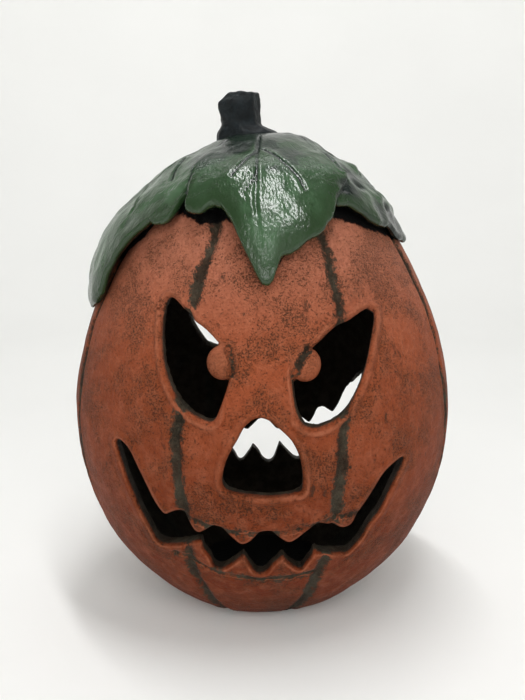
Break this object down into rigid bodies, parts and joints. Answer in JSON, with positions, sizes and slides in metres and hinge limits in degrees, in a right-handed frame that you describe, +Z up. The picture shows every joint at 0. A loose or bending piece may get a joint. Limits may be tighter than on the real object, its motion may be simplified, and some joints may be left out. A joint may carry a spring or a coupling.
{
  "type": "pumpkin lantern",
  "caption": "Hollow moulded clay pumpkin with a grinning face cut through front and back, and a loose leaf lid with a stubby stem, for a small candle inside.",
  "frame": {"origin": "centre of the flat foot, on the ground", "axes": "+Z up, the front face looks along -Y, +X to the right of someone who looks at the front face"},
  "size_m": [0.23, 0.2276, 0.3075],
  "materials": {
    "painted_clay": "matt orange paint over a dark undercoat",
    "green_glaze": "glossy green with dark veins and a near-black stem"
  },
  "bodies": {
    "root": {"pumpkin_body": "painted_clay", "leaf_lid": "green_glaze"}
  },
  "joints": []
}
